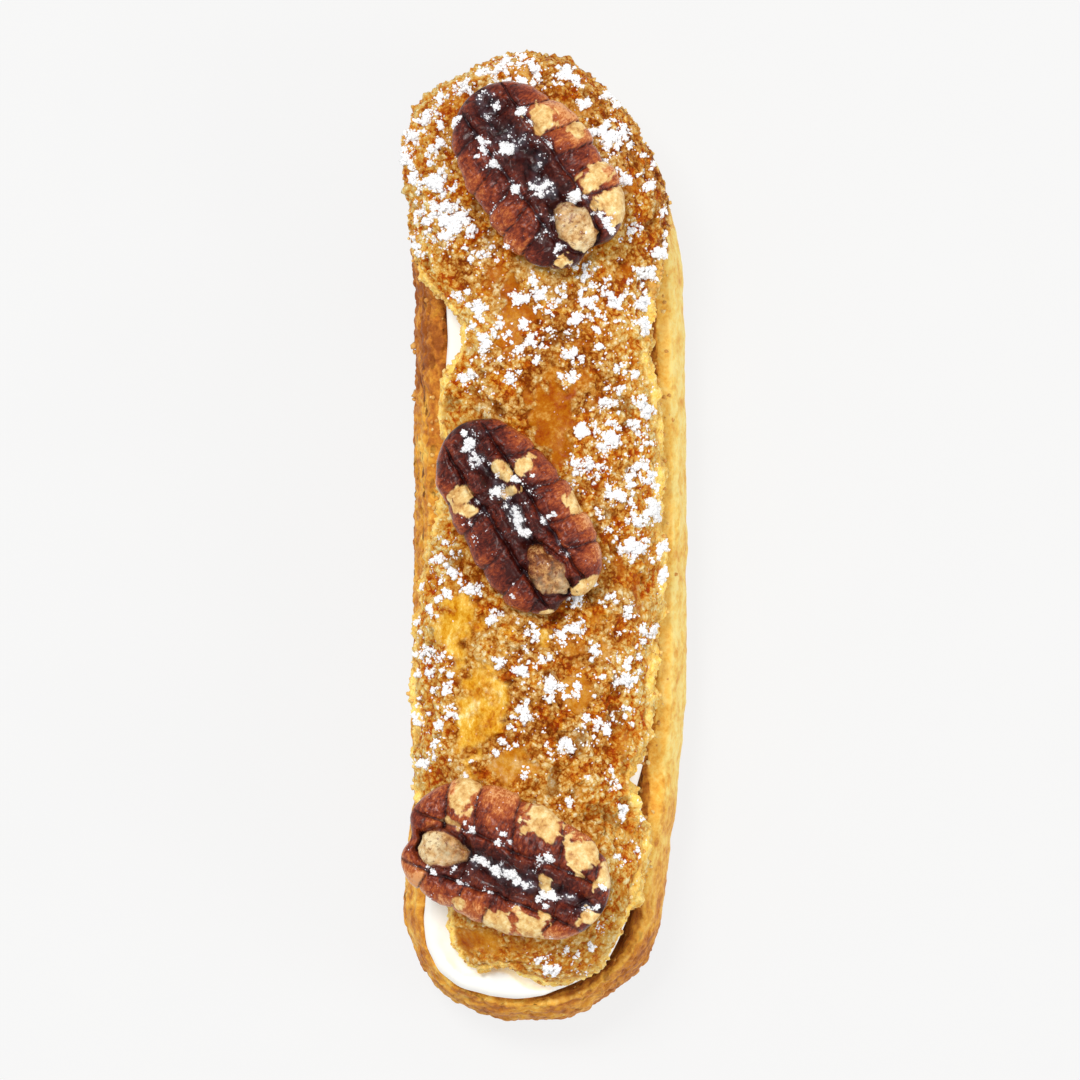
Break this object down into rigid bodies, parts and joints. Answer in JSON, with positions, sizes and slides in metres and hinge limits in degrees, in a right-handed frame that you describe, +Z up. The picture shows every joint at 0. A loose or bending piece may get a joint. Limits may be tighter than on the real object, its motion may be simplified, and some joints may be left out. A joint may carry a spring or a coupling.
{
  "type": "eclair",
  "caption": "Split eclair: a long choux boat with a flat underside, piped white cream along it, a torn craquelin crumble lid and pecan halves on top.",
  "frame": {"origin": "under the middle of the eclair's box, on the plane of its flat underside", "axes": "+Y along the eclair towards its head end, +Z up, +X to the right as seen from above with the head end at the top"},
  "size_m": [0.041, 0.1378, 0.0417],
  "materials": {
    "choux": "matte",
    "cream": "satin",
    "craquelin": "matte",
    "pecan": "satin"
  },
  "bodies": {
    "root": {"base": "choux", "cream": "cream", "lid": "craquelin", "pecan_head": "pecan", "pecan_middle": "pecan", "pecan_tail": "pecan"}
  },
  "joints": []
}
